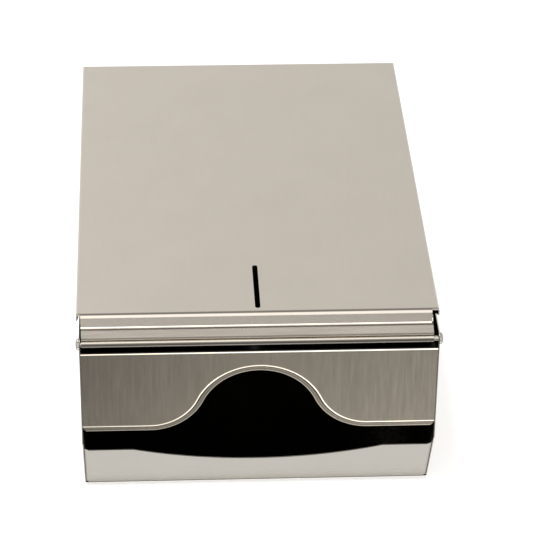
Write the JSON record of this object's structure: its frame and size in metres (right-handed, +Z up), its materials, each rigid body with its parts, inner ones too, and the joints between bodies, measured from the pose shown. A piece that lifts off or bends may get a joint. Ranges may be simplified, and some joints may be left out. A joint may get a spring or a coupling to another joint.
{
  "type": "paper towel dispenser",
  "caption": "Wall-hung folded sheet steel dispenser for folded paper towels, with an arched outlet in its underside and a lockable front cover hinged along the bottom.",
  "frame": {"origin": "middle of the four wall screws, on the back face that lies against the wall", "axes": "+Z up as it hangs, the front faces -Y, +Y into the wall, +X to the right of a person who faces the front"},
  "size_m": [0.2748, 0.18, 0.3935],
  "materials": {
    "case_steel": "satin stainless sheet",
    "outlet_steel": "brushed stainless sheet",
    "rod_steel": "bright steel rod and pressed caps",
    "lock_chrome": "plated lock",
    "lock_zinc": "zinc plated steel",
    "lock_brass": "plain stamped brass"
  },
  "bodies": {
    "case": {"case_wrap": "case_steel", "case_top": "case_steel", "strike_bracket": "case_steel", "outlet_plate": "outlet_steel", "bottom_lip": "case_steel", "hinge_rod": "rod_steel", "rod_caps": "rod_steel"},
    "cover": {"front_cover": "case_steel", "hinge_leaf": "case_steel", "lock_housing": "lock_chrome", "lock_washer": "lock_zinc", "lock_nut": "lock_zinc"},
    "lock": {"lock_plug": "lock_chrome", "lock_wafers": "lock_brass", "lock_cam": "lock_zinc", "cam_screw": "lock_zinc"}
  },
  "joints": [
    {"name": "cover_hinge", "type": "hinge", "parent": "case", "child": "cover", "pos_m": [0, -0.152, -0.212], "axis": [1, 0, 0], "range_deg": [0, 150]},
    {"name": "lock_turn", "type": "hinge", "parent": "cover", "child": "lock", "pos_m": [-0.0015, -0.1685, 0.175], "axis": [0, 0, 1], "range_deg": [0, 90]}
  ]
}
